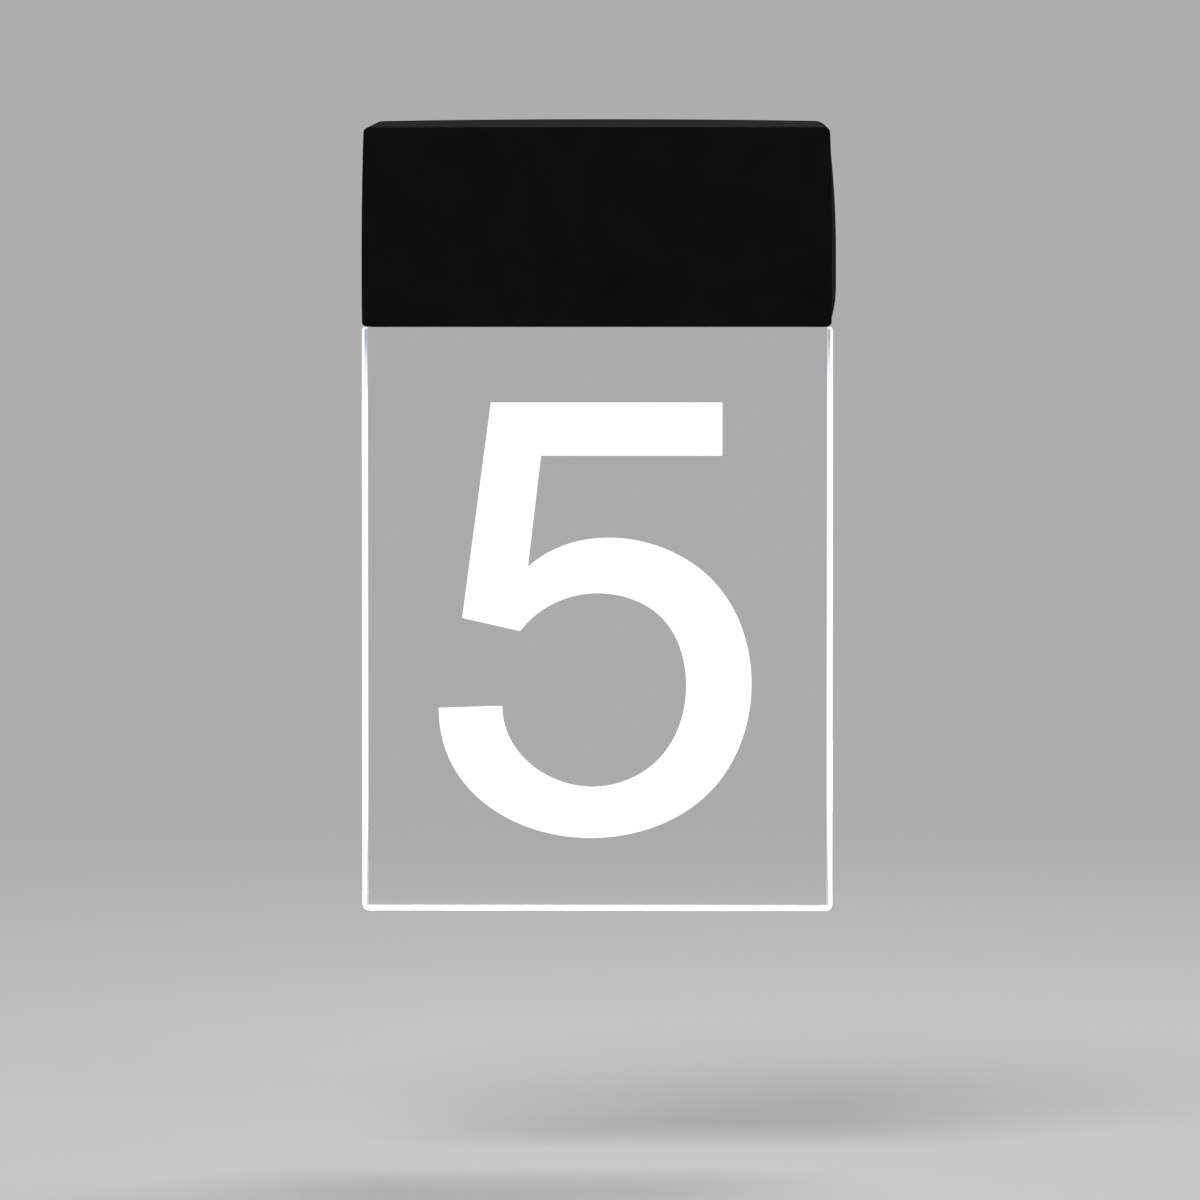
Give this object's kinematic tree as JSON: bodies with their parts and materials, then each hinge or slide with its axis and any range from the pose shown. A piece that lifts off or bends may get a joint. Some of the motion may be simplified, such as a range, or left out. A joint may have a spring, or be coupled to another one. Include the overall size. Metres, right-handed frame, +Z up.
{
  "type": "illuminated house number sign",
  "caption": "Wall light with a black housing and a clear edge-lit panel below it that carries a white house number.",
  "frame": {"origin": "on the wall plane, midway between the two wall screws, behind the middle of the housing", "axes": "+Z up, +Y into the wall (the sign faces -Y), +X to the right as seen from in front"},
  "size_m": [0.1658, 0.06, 0.274],
  "materials": {
    "housing_black": "fine satin powder coat",
    "clear_acrylic": "polished clear acrylic with bevelled edges",
    "lit_white": "white, lit from the panel behind it",
    "black_rubber": "matt EPDM",
    "foam_rubber": "closed-cell foam",
    "clear_silicone": "translucent silicone",
    "bare_aluminium": "extruded, clear anodised",
    "zinc_steel": "bright zinc plated",
    "stainless": "plain stainless",
    "white_board": "white solder mask on aluminium",
    "led_yellow": "phosphor in a white package",
    "thermal_grey": "soft gap filler",
    "driver_white": "moulded polycarbonate",
    "block_natural": "natural polyamide",
    "brass": "plain machined",
    "tinned": "tin plated copper",
    "wire_red": "PVC",
    "wire_black": "PVC",
    "wire_blue": "PVC",
    "wire_brown": "PVC",
    "wire_green_yellow": "PVC, green and yellow"
  },
  "bodies": {
    "root": {"housing_cover": "housing_black", "number_panel": "clear_acrylic", "house_number": "lit_white", "slot_seal": "black_rubber", "wall_gasket": "foam_rubber", "led_carrier": "bare_aluminium", "clamp_pad_front": "clear_silicone", "clamp_pad_rear": "clear_silicone", "clamp_bar": "bare_aluminium", "clamp_screws": "stainless", "carrier_screws": "stainless", "thermal_pad": "thermal_grey", "led_board": "white_board", "leds": "led_yellow", "led_lead_plus": "wire_red", "led_lead_minus": "wire_black", "driver_case": "driver_white", "driver_lid": "driver_white", "driver_screws": "zinc_steel", "wall_bracket": "zinc_steel", "hanging_hooks": "zinc_steel", "screw_ears": "zinc_steel", "cable_grommet": "black_rubber", "cover_screws": "stainless", "cover_washers": "black_rubber", "terminal_block": "block_natural", "terminal_sleeves": "brass", "terminal_screws": "zinc_steel", "block_screws": "zinc_steel", "neutral_lead": "wire_blue", "live_lead": "wire_brown", "earth_lead": "wire_green_yellow", "earth_lug": "tinned", "earth_washer": "zinc_steel", "earth_screw": "brass"}
  },
  "joints": []
}
